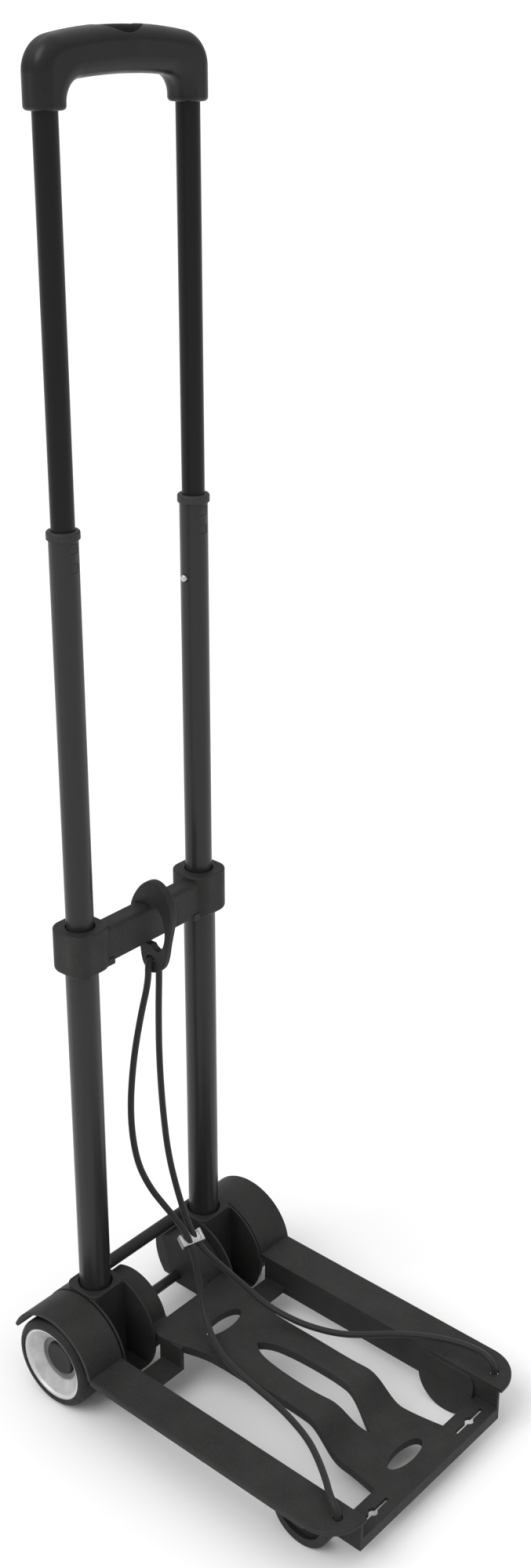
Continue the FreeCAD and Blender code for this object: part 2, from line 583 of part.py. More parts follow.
def build_handle():
    body = handle_solid()
    body = body.cut(box((-66, 66), (TUBE_Y - 5.6, TUBE_Y + 5.6), CHANNEL_Z))
    for x in (-TUBE_X, TUBE_X):
        body = body.cut(cyl_z(x, TUBE_Y, (900, UPPER_Z[1]), UPPER_R + 0.02))
        body = body.cut(cyl_z(x, TUBE_Y, (UPPER_Z[1] - 1, CHANNEL_Z[0] + 1), 5.0))
    body = body.cut(oval((0, TUBE_Y), BUTTON_HALF, (POCKET_Z, 990)))
    body = body.cut(cyl_z(0, TUBE_Y, (CHANNEL_Z[0], POCKET_Z + 1), 3.6))
    for x, z in HANDLE_SCREWS:
        body = body.cut(cyl_y(x, (TUBE_Y - 6, TUBE_Y + 20), z, 1.3))
        body = body.cut(cyl_y(x, (TUBE_Y + 9.5, TUBE_Y + 20), z, 3.0))
    front = body.common(box((-100, 100), (TUBE_Y - 40, TUBE_Y), (900, 1000)))
    rear = body.common(box((-100, 100), (TUBE_Y, TUBE_Y + 40), (900, 1000)))
    keep("handle_shell_front", front)
    keep("handle_shell_rear", rear)
    keep("handle_screws", Part.makeCompound([handle_screw(x, z) for x, z in HANDLE_SCREWS]))
    build_release(body)


def handle_screw(x, z):
    y_head = TUBE_Y + 9.5
    shank = cyl_y(x, (TUBE_Y - 5.8, y_head), z, 1.28)
    head = cyl_y(x, (y_head, y_head + 1.8), z, 2.6)
    slot = box((x - 0.4, x + 0.4), (y_head + 0.9, y_head + 2), (z - 1.8, z + 1.8))
    cross = box((x - 1.8, x + 1.8), (y_head + 0.9, y_head + 2), (z - 0.4, z + 0.4))
    return fuse([shank, head]).cut(slot).cut(cross)


def build_release(handle):
    """Push button, spring, yoke and the two rods that reach down to the lock pins."""
    gap = 0.3
    half = (BUTTON_HALF[0] - gap, BUTTON_HALF[1] - gap)
    button = oval((0, TUBE_Y), half, (POCKET_Z + BUTTON_TRAVEL + 0.5, 990))
    button = button.common(handle_crown())
    button = button.cut(cyl_z(0, TUBE_Y, (960, POCKET_Z + 8.0), 6.3))
    stem = cyl_z(0, TUBE_Y, (962.0, POCKET_Z + 9.0), 3.0)
    keep("release_button", fuse([button, stem]))
    keep("button_spring", button_spring())
    yoke = box((-64.0, 64.0), (TUBE_Y - 4.0, TUBE_Y + 4.0), (959.0, 962.0))
    keep("release_yoke", yoke)
    rod = cyl_z(TUBE_X, TUBE_Y, (652.0, 959.0), 1.5)
    keep("release_rods", both(rod))


def button_spring():
    """Arched leaf under the button, with a hole for its stem."""
    half, rise, thick = 13.0, 3.9, 0.4
    y = TUBE_Y - 4.5
    low = POCKET_Z + 0.05

    def bow(z):
        return arc((-half, y, z), (0, y, z + rise), (half, y, z))
    ends = [line((x, y, low), (x, y, low + thick)) for x in (-half, half)]
    leaf = outline([bow(low), bow(low + thick)] + ends, V(0, 9.0, 0))
    return leaf.cut(cyl_z(0, TUBE_Y, (960.0, 980.0), 3.4))


def handle_crown():
    """The grip's crowned top, 0.4 mm lower, as a solid for the button's face."""
    top = HANDLE_TOP - 0.4
    side = Part.makeCylinder(TOP_ARC_R, 40, V(0, TUBE_Y - 20, top - TOP_ARC_R), V(0, 1, 0))
    barrel_r = 13.0
    return side.common(cyl_x((-60, 60), TUBE_Y, top - barrel_r, barrel_r))


# ---- hook, cord, clip and knots --------------------------------------------------------
EYE = (-6.5, 341.4)       # y and z of the hook's eye
EYE_R = 4.3
# Outer outline of the hook, (y, z) points in turn: a broad dome over the bar, then a
# narrower tongue below it that holds the eye.
HOOK_OUTLINE = ((-8.0, 331.0), (-18.5, 338.5), (-24.0, 358.0), (-28.0, 376.0), (-28.0, 391.0),
                (-22.5, 401.5), (-12.0, 407.0), (-1.0, 403.0), (7.5, 393.5), (13.0, 382.0),
                (13.5, 369.0), (9.0, 358.5), (4.8, 350.0), (2.6, 338.5))
HOOK_WINDOW = ((-12.5, 368.5), (9.0, 18.0))    # centre and half sizes, y and z
MOUTH_Z = (354.0, 374.0)


def build_hook():
    """Flat hook that drops over the crossbar, open at the back, with an eye for the cord."""
    flat = V(2 * HOOK_HALF, 0, 0)
    curve = Part.BSplineCurve()
    curve.interpolate([V(-HOOK_HALF, y, z) for y, z in HOOK_OUTLINE], True)
    hook = Part.Face(Part.Wire([curve.toShape()])).extrude(flat)
    rim = [e for e in hook.Edges if e.BoundBox.ZLength > 30]
    hook = hook.makeFillet(1.4, rim)
    (y, z), (half_y, half_z) = HOOK_WINDOW
    ellipse = Part.Ellipse(V(-HOOK_HALF, y, z + half_z), V(-HOOK_HALF, y + half_y, z), V(-HOOK_HALF, y, z))
    window = Part.Face(Part.Wire([ellipse.toShape()])).extrude(flat)
    bar_space = box((-5, 5), (BAR_Y[0] - 0.3, BAR_Y[1] + 0.4), (MOUTH_Z[0], BAR_Z[1] + 0.3))
    bar_space = soften(bar_space, 2.9, lambda e: e.BoundBox.XLength > 9.9)
    mouth = box((-5, 5), ((BAR_Y[0] + BAR_Y[1]) / 2, 40), MOUTH_Z)
    eye = cyl_x((-9, 9), EYE[0], EYE[1], EYE_R)
    for cutter in (window, bar_space, mouth, eye):
        hook = hook.cut(cutter)
    keep("cord_hook", hook)


def rounded_path(points, radii):
    """Straight runs joined by tangent arcs; prints the radii."""
    edges = []
    start = points[0]
    used = []
    for i in range(1, len(points) - 1):
        a, b, c = points[i - 1], points[i], points[i + 1]
        u = (a - b).normalize()
        w = (c - b).normalize()
        turn = math.pi - u.getAngle(w)
        reach = 0.45 * min((a - b).Length, (c - b).Length)
        r = reach / math.tan(turn / 2)
        if i in radii:
            r = radii[i]
            reach = r * math.tan(turn / 2)
        used.append(round(r, 1))
        p1 = b + u * reach
        p2 = b + w * reach
        bis = (u + w).normalize()
        mid = b + bis * (r / math.cos(turn / 2) - r)
        edges.append(Part.LineSegment(start, p1).toShape())
        edges.append(Part.Arc(p1, mid, p2).toShape())
        start = p2
    edges.append(Part.LineSegment(start, points[-1]).toShape())
    print("cord radii:", used)
    return Part.Wire(edges)


# Route of the cord from the right rail's knot to the left one, about the axle line.
CORD_ROUTE = [
    (93.0, -262.5, 40.2), (93.0, -262.5, 48.6), (94.2, -255.2, 53.4), (96.5, -243.0, 52.0),
    (93.0, -224.0, 51.5), (83.0, -203.0, 51.0), (71.0, -185.5, 50.5), (57.0, -170.5, 50.0),
    (44.5, -154.5, 49.5), (36.5, -135.0, 49.5), (32.0, -115.0, 50.0), (28.0, -91.0, 54.0),
    (23.0, -73.0, 66.0), (13.5, -56.5, 83.0), (4.0, -44.5, 100.0), (2.8, -35.0, 115.0),
    (4.0, -24.5, 134.0), (4.0, -13.5, 168.0), (4.0, -8.5, 208.0), (4.0, -6.0, 253.0),
    (4.5, -6.0, 295.0), (5.6, -6.5, 325.0), (5.6, -6.5, 342.6), (-5.6, -6.5, 342.6),
    (-5.6, -6.5, 325.0), (-12.5, -4.0, 297.0), (-22.0, -4.0, 260.0), (-27.5, -5.0, 218.0),
    (-25.0, -7.5, 178.0), (-18.0, -14.0, 152.0), (-10.0, -24.0, 133.0), (-2.8, -37.0, 114.0),
    (-3.5, -45.5, 98.0), (-5.5, -53.5, 76.0), (-13.0, -65.0, 57.5), (-24.0, -83.0, 50.5),
    (-33.0, -103.0, 49.5), (-38.5, -125.0, 49.5), (-42.0, -147.0, 50.0), (-45.0, -168.0, 50.0),
    (-50.0, -188.0, 50.0), (-57.0, -207.0, 50.5), (-67.0, -224.0, 51.0), (-78.0, -239.5, 51.5),
    (-88.5, -251.5, 53.6), (-93.0, -262.5, 48.6), (-93.0, -262.5, 40.2)]
U_TURN = {22: 5.55, 23: 5.55}


def build_cord():
    points = [V(*p) for p in CORD_ROUTE]
    path = rounded_path(points, U_TURN)
    first = points[1] - points[0]
    section = Part.Wire(Part.makeCircle(CORD_R, points[0], first))
    cord = path.makePipeShell([section], True, False)
    expected = math.pi * CORD_R ** 2 * path.Length
    print("cord: length", round(path.Length, 1), "volume share", round(cord.Volume / expected, 4))
    keep("bungee_cord", cord)
    knot = Part.makeSphere(5.6, V(CORD_HOLE[0], CORD_HOLE[1], 34.8))
    knot = knot.common(cyl_z(CORD_HOLE[0], CORD_HOLE[1], (20, 40.0), 8))
    keep("cord_knots", both(knot))
    build_clip()


CLIP_AT = (0.0, -40.0, 106.5)


def build_clip():
    """Crimped metal sleeve with rolled ends round both strands."""
    body = box((-7.0, 7.0), (-4.4, 4.4), (-2.4, 2.4))
    body = soften(body, 1.6, lambda e: e.BoundBox.XLength > 13)
    ends = [box((x - 1.4, x + 1.4), (-5.2, 5.2), (-3.4, 3.4)) for x in (-8.2, 8.2)]
    ends = [soften(e, 1.1, lambda g: True) for e in ends]
    dents = [cyl_y(x, (-6, 6), 3.4, 1.6) for x in (-3.6, 0.0, 3.6)]
    shape = fuse([body] + ends)
    for dent in dents:
        shape = shape.cut(dent)
    shape.rotate(V(0, 0, 0), V(1, 0, 0), 32.0)
    shape.rotate(V(0, 0, 0), V(0, 0, 1), -16.0)
    shape.translate(V(*CLIP_AT))
    keep("cord_clip", shape)


build_tubes()
build_bracket()
build_base()
build_wheels()
build_deck()
build_feet()
build_handle()
build_hook()
build_cord()
nodes["cord_clip"] = nodes["cord_clip"].cut(nodes["bungee_cord"])

os.makedirs("parts", exist_ok=True)
for name, shape in nodes.items():
    moved = shape.copy()
    moved.translate(V(0, AXLE_Y, 0))
    good = moved.isValid() and all(s.Volume > 0 for s in moved.Solids)
    if not good or not moved.Solids:
        print("CHECK", name, moved.isValid(), len(moved.Solids), [round(s.Volume) for s in moved.Solids])
    moved.exportStep("parts/" + name + ".step")
print(len(nodes), "nodes; axle at y =", round(AXLE_Y, 2))
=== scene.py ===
import json
import math

import bpy
import bmesh
from mathutils import Matrix, Vector


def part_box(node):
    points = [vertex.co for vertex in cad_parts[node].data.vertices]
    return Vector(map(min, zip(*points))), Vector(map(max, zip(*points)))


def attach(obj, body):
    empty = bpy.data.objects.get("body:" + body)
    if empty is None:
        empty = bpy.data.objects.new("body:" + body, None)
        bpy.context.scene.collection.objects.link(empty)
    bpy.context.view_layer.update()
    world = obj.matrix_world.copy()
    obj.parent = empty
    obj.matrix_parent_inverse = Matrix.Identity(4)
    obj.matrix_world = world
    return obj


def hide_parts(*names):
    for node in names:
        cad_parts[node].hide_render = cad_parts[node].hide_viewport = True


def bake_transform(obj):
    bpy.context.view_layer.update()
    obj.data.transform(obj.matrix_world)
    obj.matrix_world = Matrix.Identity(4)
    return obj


# Folding luggage hand truck: camera, cord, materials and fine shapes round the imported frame.
# Metres, +Z up, X along the wheel axle, the tray reaches towards -Y.

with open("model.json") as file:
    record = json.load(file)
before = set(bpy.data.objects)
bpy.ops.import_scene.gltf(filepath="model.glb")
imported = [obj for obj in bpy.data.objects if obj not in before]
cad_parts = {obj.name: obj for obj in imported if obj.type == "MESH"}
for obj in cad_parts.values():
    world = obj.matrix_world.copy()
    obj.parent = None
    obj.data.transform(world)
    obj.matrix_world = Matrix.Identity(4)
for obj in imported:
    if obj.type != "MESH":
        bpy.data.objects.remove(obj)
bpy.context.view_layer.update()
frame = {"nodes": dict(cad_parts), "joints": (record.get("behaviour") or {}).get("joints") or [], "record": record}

MM = 0.001
JOINTS = {joint["name"]: joint for joint in frame["joints"]}
AXLE = Vector(JOINTS["platform_fold"]["pos_m"])


# ---- camera ----------------------------------------------------------------------------
CAMERA_FROM_AXLE = (-0.8264, -0.8349, 1.0040)   # x and y from the axle line, z from the floor
CAMERA_AZIMUTH = math.radians(-49.008)
CAMERA_ELEVATION = math.radians(22.881)
CAMERA_ROLL = math.radians(0.11)
SENSOR = 36.0
FOCAL_SHARE = 1.15733     # focal length over the picture's height
AXIS_SHIFT = (-0.001, -0.0245)
VIEW_DEPTH = (0.05, 400.0)


def build_camera():
    data = bpy.data.cameras.new("camera")
    data.sensor_width = SENSOR
    data.lens = SENSOR * FOCAL_SHARE
    data.shift_x, data.shift_y = AXIS_SHIFT
    data.clip_start, data.clip_end = VIEW_DEPTH
    camera = bpy.data.objects.new("camera", data)
    bpy.context.scene.collection.objects.link(camera)
    x, y, z = CAMERA_FROM_AXLE
    turn = (Matrix.Rotation(CAMERA_AZIMUTH, 4, "Z")
            @ Matrix.Rotation(math.pi / 2 - CAMERA_ELEVATION, 4, "X")
            @ Matrix.Rotation(CAMERA_ROLL, 4, "Z"))
    camera.matrix_world = Matrix.Translation((x, AXLE.y + y, z)) @ turn
    bpy.context.scene.camera = camera


# ---- helpers ---------------------------------------------------------------------------
ROUND_ANGLE = 60.0        # edges of round meshes stay soft up to this many degrees
ROUTE_STEPS = 10          # points of the smooth route for each control point


def add_object(name, mesh, body=None, material=None):
    """New object of the mesh, riding on the body, with its material."""
    piece = bpy.data.objects.new(name, mesh)
    bpy.context.scene.collection.objects.link(piece)
    if material:
        mesh.materials.clear()
        mesh.materials.append(material)
    if body:
        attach(piece, body)
    return piece


def smooth(mesh, angle_deg):
    """Smooth shading, apart from edges sharper than the angle."""
    for polygon in mesh.polygons:
        polygon.use_smooth = True
    mesh.set_sharp_from_angle(angle=math.radians(angle_deg))


def tube_mesh(name, path, radius, sides=20, closed=False):
    """Tube along a list of points, with rings that don't twist and a UV map: u along it, v round it."""
    count = len(path)
    tangents = []
    for i in range(count):
        before = path[(i - 1) % count] if closed or i > 0 else path[i]
        after = path[(i + 1) % count] if closed or i < count - 1 else path[i]
        tangents.append((after - before).normalized())
    up = Vector((0, 0, 1)) if abs(tangents[0].z) < 0.9 else Vector((0, 1, 0))
    normal = (up - tangents[0] * up.dot(tangents[0])).normalized()
    normals = [normal]
    for i in range(1, count):
        turn = tangents[i - 1].rotation_difference(tangents[i])
        normal = turn @ normal
        normal = (normal - tangents[i] * normal.dot(tangents[i])).normalized()
        normals.append(normal)
    twist = 0.0
    if closed:
        last = tangents[-1].rotation_difference(tangents[0]) @ normals[-1]
        twist = math.atan2(last.cross(normals[0]).dot(tangents[0]), last.dot(normals[0]))
    work = bmesh.new()
    layer = work.loops.layers.uv.new("along")
    rings = []
    along = [0.0]
    for i in range(1, count):
        along.append(along[-1] + (path[i] - path[i - 1]).length)
    for i, point in enumerate(path):
        binormal = tangents[i].cross(normals[i])
        extra = twist * i / count
        ring = []
        for k in range(sides):
            a = 2 * math.pi * k / sides + extra
            ring.append(work.verts.new(point + (normals[i] * math.cos(a) + binormal * math.sin(a)) * radius))
        rings.append(ring)
    spans = count if closed else count - 1
    total = along[-1] + ((path[0] - path[-1]).length if closed else 0.0)
    for i in range(spans):
        low, high = rings[i], rings[(i + 1) % count]
        u0 = along[i]
        u1 = along[i + 1] if i + 1 < count else total
        for k in range(sides):
            n = (k + 1) % sides
            face = work.faces.new((low[k], low[n], high[n], high[k]))
            corners = ((u0, k / sides), (u0, (k + 1) / sides), (u1, (k + 1) / sides), (u1, k / sides))
            for loop, (u, v) in zip(face.loops, corners):
                loop[layer].uv = (u, v)
    if not closed:
        work.faces.new(list(reversed(rings[0])))
        work.faces.new(rings[-1])
    bmesh.ops.recalc_face_normals(work, faces=work.faces)
    mesh = bpy.data.meshes.new(name)
    work.to_mesh(mesh)
    work.free()
    smooth(mesh, ROUND_ANGLE)
    return mesh


def nurbs_points(points):
    """Points along the smooth route whose control points are given."""
    curve = bpy.data.curves.new("route", "CURVE")
    curve.dimensions = "3D"
    spline = curve.splines.new("NURBS")
    spline.points.add(len(points) - 1)
    for target, p in zip(spline.points, points):
        target.co = (*p, 1.0)
    spline.order_u = 3
    spline.use_endpoint_u = True
    spline.resolution_u = ROUTE_STEPS
    holder = bpy.data.objects.new("route", curve)
    bpy.context.scene.collection.objects.link(holder)
    bpy.context.view_layer.update()
    mesh = bpy.data.meshes.new_from_object(holder)
    line = [v.co.copy() for v in mesh.vertices]
    bpy.data.objects.remove(holder)
    bpy.data.meshes.remove(mesh)
    return line


# ---- materials -------------------------------------------------------------------------
SEAM_HALF = (0.0001, 0.00035)     # the dark line between two shells, and where it has faded
HUB_STEP_R = (0.0165, 0.0185)     # where the painted shade in the rim's step ends and its bowl starts
RIM_LIP_R = (0.0262, 0.0270)      # where the bowl ends and the painted highlight on the lip starts
TYRE_RING_R = (0.0312, 0.0328)    # fine rings on a tyre's side
TYRE_RING_HALF = 0.0004
BRAID_PITCH = 0.0075
BRAID_STRANDS = 8


class Nodes:
    """Short way to write a material's node tree."""

    def __init__(self, name):
        self.material = bpy.data.materials.new(name)
        self.material.use_nodes = True
        self.tree = self.material.node_tree
        self.shader = self.tree.nodes["Principled BSDF"]
        self.coords = self.add("ShaderNodeTexCoord").outputs["Object"]

    def add(self, kind, inputs=None, **settings):
        node = self.tree.nodes.new(kind)
        for key, value in settings.items():
            setattr(node, key, value)
        for key, value in (inputs or {}).items():
            self.put(node.inputs[key], value)
        return node

    def put(self, socket, value):
        if isinstance(value, bpy.types.NodeSocket):
            self.tree.links.new(value, socket)
        else:
            socket.default_value = value

    def noise(self, scale, detail=2.0, roughness=0.5, coords=None):
        inputs = {"Vector": coords or self.coords, "Scale": scale, "Detail": detail, "Roughness": roughness}
        return self.add("ShaderNodeTexNoise", inputs).outputs["Fac"]

    def ramp(self, value, low, high, to_low=0.0, to_high=1.0):
        inputs = {"Value": value, "From Min": low, "From Max": high, "To Min": to_low, "To Max": to_high}
        return self.add("ShaderNodeMapRange", inputs).outputs["Result"]

    def mix(self, share, a, b):
        node = self.add("ShaderNodeMix", data_type="RGBA")
        self.put(node.inputs[0], share)
        self.put(node.inputs[6], a)
        self.put(node.inputs[7], b)
        return node.outputs[2]

    def bump(self, height, strength, distance, normal=None):
        inputs = {"Height": height, "Strength": strength, "Distance": distance}
        node = self.add("ShaderNodeBump", inputs)
        if normal:
            self.put(node.inputs["Normal"], normal)
        return node.outputs["Normal"]

    def edges(self, radius):
        """1 along convex and concave edges, 0 on flat stretches."""
        bevel = self.add("ShaderNodeBevel", {"Radius": radius}, samples=4)
        flat = self.add("ShaderNodeNewGeometry").outputs["Normal"]
        dot = self.add("ShaderNodeVectorMath", {0: bevel.outputs[0], 1: flat}, operation="DOT_PRODUCT")
        return self.ramp(dot.outputs["Value"], 0.995, 0.8)

    def rounded(self, radius):
        """Normals that turn softly over sharp edges."""
        return self.add("ShaderNodeBevel", {"Radius": radius}, samples=6).outputs[0]

    def math(self, operation, a, b=0.0):
        return self.add("ShaderNodeMath", {0: a, 1: b}, operation=operation).outputs[0]

    def vector(self, operation, a, b=(0.0, 0.0, 0.0)):
        return self.add("ShaderNodeVectorMath", {0: a, 1: b}, operation=operation).outputs

    def from_axle(self):
        """Distance from the axle's line."""
        moved = self.vector("SUBTRACT", self.coords, tuple(AXLE))[0]
        return self.vector("LENGTH", self.vector("MULTIPLY", moved, (0.0, 1.0, 1.0))[0])["Value"]


def grey(level, warm=0.0):
    return (level * (1 + warm), level, level * (1 - warm), 1.0)


def moulded(name, dark, light, roughness, grain=0.25, shine=0.2, edge_highlight=0.0, speck=0.3, seam=None):
    """Moulded plastic: faint clouds in its colour, spark-eroded grain and a painted highlight along its edges.

    speck is how strong the grain's paler specks are; seam is the y of the line where two
    shells meet."""
    n = Nodes(name)
    clouds = n.ramp(n.noise(38.0, 4.0, 0.6), 0.3, 0.7)
    color = n.mix(clouds, dark, light)
    specks = n.ramp(n.noise(1000.0, 3.0, 0.7), 0.45, 0.68, 0.0, speck)
    color = n.mix(specks, color, grey(2.2 * light[1]))
    if edge_highlight:
        # painted highlight: paler colour along convex and concave edges
        color = n.mix(n.math("MULTIPLY", n.edges(0.0010), edge_highlight), color, grey(3.0 * light[1]))
    if seam is not None:
        y = n.add("ShaderNodeSeparateXYZ", {0: n.coords}).outputs[1]
        gap = n.ramp(n.math("ABSOLUTE", n.math("SUBTRACT", y, seam)), *SEAM_HALF, 1.0, 0.0)
        color = n.mix(gap, color, grey(0.002))
    n.put(n.shader.inputs["Base Color"], color)
    n.put(n.shader.inputs["Roughness"],
          n.ramp(n.noise(60.0, 3.0, 0.6), 0.3, 0.7, roughness - 0.06, roughness + 0.06))
    n.shader.inputs["Specular IOR Level"].default_value = shine
    n.put(n.shader.inputs["Normal"], n.bump(n.noise(1100.0, 2.0, 0.55), grain, 0.0002, n.rounded(0.0005)))
    return n.material


def painted_tube(name, level, shine):
    """Satin black coating on a drawn tube, with faint marks along its length."""
    n = Nodes(name)
    stretched = n.add("ShaderNodeMapping", {"Vector": n.coords, "Scale": (1.0, 1.0, 0.06)}).outputs[0]
    marks = n.ramp(n.noise(420.0, 3.0, 0.6, stretched), 0.45, 0.75)
    color = n.mix(n.noise(25.0, 3.0, 0.6), grey(level), grey(1.45 * level))
    n.put(n.shader.inputs["Base Color"], n.mix(n.math("MULTIPLY", marks, 0.4), color, grey(1.85 * level)))
    n.put(n.shader.inputs["Roughness"], n.ramp(marks, 0.0, 1.0, 0.30, 0.42))
    n.shader.inputs["Specular IOR Level"].default_value = shine
    n.put(n.shader.inputs["Normal"], n.bump(n.noise(900.0, 1.0, 0.5), 0.06, 0.0001, n.rounded(0.0004)))
    return n.material


def plain_metal(name, level, roughness):
    """Bare metal with cloudy brightness and fine scratches."""
    n = Nodes(name)
    n.shader.inputs["Metallic"].default_value = 1.0
    n.put(n.shader.inputs["Base Color"], n.mix(n.noise(180.0, 3.0, 0.6), grey(level * 0.8), grey(level)))
    n.put(n.shader.inputs["Roughness"],
          n.ramp(n.noise(500.0, 2.0, 0.6), 0.3, 0.7, roughness, roughness + 0.14))
    n.put(n.shader.inputs["Normal"], n.bump(n.noise(1500.0, 1.0, 0.5), 0.15, 0.0001, n.rounded(0.0003)))
    return n.material


def wheel_rim(name):
    """Silver paint on a moulded rim with patches in the bowl, a painted highlight on the lip and painted shade in
    the step round the hub.
    """
    n = Nodes(name)
    r = n.from_axle()
    patches = n.ramp(n.noise(70.0, 4.0, 0.65), 0.35, 0.7)
    bowl = n.mix(patches, grey(0.36), grey(0.52))
    # painted shade: the recessed step round the hub is darker
    color = n.mix(n.ramp(r, *HUB_STEP_R), grey(0.13), bowl)
    # painted highlight: the lip is lighter
    color = n.mix(n.ramp(r, *RIM_LIP_R), color, grey(0.62))
    n.put(n.shader.inputs["Base Color"], color)
    n.shader.inputs["Metallic"].default_value = 0.25
    n.put(n.shader.inputs["Roughness"], n.ramp(n.noise(200.0, 2.0), 0.3, 0.7, 0.34, 0.48))
    n.put(n.shader.inputs["Normal"], n.bump(n.noise(1400.0, 1.0), 0.12, 0.0001, n.rounded(0.0005)))
    return n.material


def rubber(name):
    """Tyre: dull, a little dusty, with two fine rings moulded into each side."""
    n = Nodes(name)
    r = n.from_axle()
    dust = n.ramp(n.noise(45.0, 5.0, 0.65), 0.45, 0.8)
    n.put(n.shader.inputs["Base Color"], n.mix(dust, grey(0.010), grey(0.020)))
    n.put(n.shader.inputs["Roughness"], n.ramp(n.noise(300.0, 2.0), 0.3, 0.7, 0.50, 0.68))
    n.shader.inputs["Specular IOR Level"].default_value = 0.25
    offsets = [n.math("ABSOLUTE", n.math("SUBTRACT", r, at)) for at in TYRE_RING_R]
    rings = [n.ramp(offset, 0.0, TYRE_RING_HALF, 1.0, 0.0) for offset in offsets]
    grooved = n.bump(n.math("ADD", *rings), 0.5, 0.0004, n.rounded(0.0006))
    n.put(n.shader.inputs["Normal"], n.bump(n.noise(700.0, 2.0), 0.25, 0.0002, grooved))
    return n.material


def braid(name):
    """Woven sheath: two sets of yarns that cross as they wind round the cord."""
    n = Nodes(name)
    uv = n.add("ShaderNodeUVMap", uv_map="along").outputs[0]
    split = n.add("ShaderNodeSeparateXYZ", {0: uv})
    along = n.math("MULTIPLY", split.outputs[0], 8 * math.pi / BRAID_PITCH)
    round_it = n.math("MULTIPLY", split.outputs[1], 2 * math.pi * BRAID_STRANDS)
    one = n.math("SINE", n.math("ADD", along, round_it))
    two = n.math("SINE", n.math("SUBTRACT", along, round_it))
    height = n.ramp(n.math("MULTIPLY", one, two), -1.0, 1.0)
    # painted shade: darker where the weave is low, between the yarns
    n.put(n.shader.inputs["Base Color"], n.mix(height, grey(0.006), grey(0.016)))
    n.put(n.shader.inputs["Roughness"], n.ramp(height, 0.0, 1.0, 0.65, 0.45))
    n.shader.inputs["Specular IOR Level"].default_value = 0.3
    n.shader.inputs["Sheen Weight"].default_value = 0.1
    n.put(n.shader.inputs["Normal"], n.bump(height, 0.5, 0.0002))
    return n.material


def floor_material():
    """Matt white, barely clouded."""
    n = Nodes("floor")
    n.put(n.shader.inputs["Base Color"], n.mix(n.noise(3.0), grey(0.90), grey(0.91)))
    n.shader.inputs["Specular IOR Level"].default_value = 0.1
    n.shader.inputs["Roughness"].default_value = 0.9
    return n.material


# ---- cord ------------------------------------------------------------------------------
CORD_DIAMETER = 0.005
KNOT_SCALE = 1.1 * MM
KNOT_STEPS = 90
KNOT_CORD_SHARE = 0.92    # the knot pulls the cord this much thinner
KNOT_GAP = 1.5 * MM       # from the top of the knot's box to its cord
CLIP_YAW = math.radians(-16.0)
CLIP_PITCH = math.radians(32.0)
CLIP_EDGE = 0.5 * MM
# Route from the right rail's knot to the left one: x, y from the axle line, z from the floor.
CORD_ROUTE = [
    (0.0930, -0.2625, 0.0402), (0.0930, -0.2625, 0.0486), (0.0942, -0.2552, 0.0534),
    (0.0965, -0.2430, 0.0520), (0.0930, -0.2240, 0.0515), (0.0830, -0.2030, 0.0510),
    (0.0710, -0.1855, 0.0505), (0.0570, -0.1705, 0.0500), (0.0445, -0.1545, 0.0495),
    (0.0365, -0.1350, 0.0495), (0.0320, -0.1150, 0.0500), (0.0280, -0.0910, 0.0540),
    (0.0230, -0.0730, 0.0660), (0.0135, -0.0565, 0.0830), (0.0040, -0.0445, 0.1000),
    (0.0028, -0.0350, 0.1150), (0.0040, -0.0245, 0.1340), (0.0040, -0.0135, 0.1680),
    (0.0040, -0.0085, 0.2080), (0.0040, -0.0060, 0.2530), (0.0045, -0.0060, 0.2950),
    (0.0056, -0.0065, 0.3250), (0.0056, -0.0065, 0.3426), (-0.0056, -0.0065, 0.3426),
    (-0.0056, -0.0065, 0.3250), (-0.0125, -0.0040, 0.2970), (-0.0220, -0.0040, 0.2600),
    (-0.0275, -0.0050, 0.2180), (-0.0250, -0.0075, 0.1780), (-0.0180, -0.0140, 0.1520),
    (-0.0100, -0.0240, 0.1330), (-0.0028, -0.0370, 0.1140), (-0.0035, -0.0455, 0.0980),
    (-0.0055, -0.0535, 0.0760), (-0.0130, -0.0650, 0.0575), (-0.0240, -0.0830, 0.0505),
    (-0.0330, -0.1030, 0.0495), (-0.0385, -0.1250, 0.0495), (-0.0420, -0.1470, 0.0500),
    (-0.0450, -0.1680, 0.0500), (-0.0500, -0.1880, 0.0500), (-0.0570, -0.2070, 0.0505),
    (-0.0670, -0.2240, 0.0510), (-0.0780, -0.2395, 0.0515), (-0.0885, -0.2515, 0.0536),
    (-0.0930, -0.2625, 0.0486), (-0.0930, -0.2625, 0.0402),
]


def build_clip(bright, shaded_metal):
    """Crimped sleeve: rolled ends and edges in bright metal round a pressed middle in a darker copy of the same
    metal, painted shade.
    """
    low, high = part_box("cord_clip")
    turn = Matrix.Rotation(CLIP_YAW, 4, "Z") @ Matrix.Rotation(CLIP_PITCH, 4, "X")
    # middle and size of each block along the sleeve, across it and through it, and its material
    blocks = [((0, 0, 0), (15.0, 7.8, 3.4), 1)]
    blocks += [((x, 0, 0), (2.4, 10.0, 6.4), 0) for x in (-8.2, 8.2)]
    blocks += [((0, y, 0), (15.5, 1.3, 4.6), 0) for y in (-4.1, 4.1)]
    blocks += [((x, 0, 0), (0.7, 8.6, 4.2), 0) for x in (5.2, 6.4)]
    work = bmesh.new()
    for middle, size, index in blocks:
        place = Matrix.Translation(Vector(middle) * MM) @ Matrix.Diagonal((*(v * MM for v in size), 1.0))
        made = bmesh.ops.create_cube(work, size=1.0, matrix=place)
        for face in {f for v in made["verts"] for f in v.link_faces}:
            face.material_index = index
    mesh = bpy.data.meshes.new("clip")
    work.to_mesh(mesh)
    work.free()
    mesh.transform(Matrix.Translation((low + high) / 2) @ turn)
    clip = add_object("clip", mesh, "platform", bright)
    # painted shade: the middle gets a darker copy of the clip metal
    mesh.materials.append(shaded_metal)
    bevel = clip.modifiers.new("bevel", "BEVEL")
    bevel.width = CLIP_EDGE
    bevel.segments = 3
    smooth(mesh, 40)
    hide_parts("cord_clip")
    return clip


